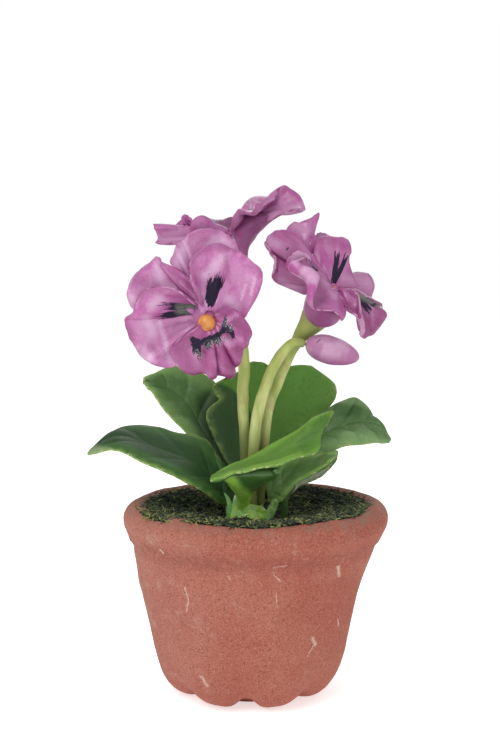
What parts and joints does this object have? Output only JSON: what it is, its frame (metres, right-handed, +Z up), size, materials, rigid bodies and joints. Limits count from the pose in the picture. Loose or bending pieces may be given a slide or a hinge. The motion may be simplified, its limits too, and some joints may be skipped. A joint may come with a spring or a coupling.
{
  "type": "miniature potted pansy",
  "caption": "Small flared clay pot with a rolled rim and a pinched foot, filled with moss and planted with a hand-modelled pansy in bloom.",
  "frame": {"origin": "centre of the pot's flat underside", "axes": "+Z up the pot's axis; the plant's front bloom faces -Y; +X is to the right seen from the front"},
  "size_m": [0.0298, 0.0258, 0.0493],
  "materials": {
    "terracotta": "unglazed, sandy",
    "moss": "dried moss on dark soil",
    "crown_green": "glossy",
    "leaf_green": "satin",
    "stem_green": "satin",
    "petal_pink": "satin, slightly translucent",
    "lip_magenta": "satin, slightly translucent",
    "bead_orange": "satin",
    "bud_lilac": "satin, slightly translucent"
  },
  "bodies": {
    "root": {"pot": "terracotta", "soil": "moss", "crown": "crown_green", "leaf_left": "leaf_green", "leaf_back_left": "leaf_green", "leaf_back": "leaf_green", "leaf_right": "leaf_green", "leaf_front": "leaf_green", "leaf_front_right": "leaf_green", "leaf_back_right": "leaf_green", "stem_front": "stem_green", "stem_back": "stem_green", "stem_right": "stem_green", "stem_bud": "stem_green", "bloom_front": "petal_pink", "bloom_back": "petal_pink", "bloom_right": "petal_pink", "lip_front": "lip_magenta", "lip_back": "lip_magenta", "lip_right": "lip_magenta", "eye_front": "bead_orange", "eye_back": "bead_orange", "eye_right": "bead_orange", "bud": "bud_lilac"}
  },
  "joints": []
}
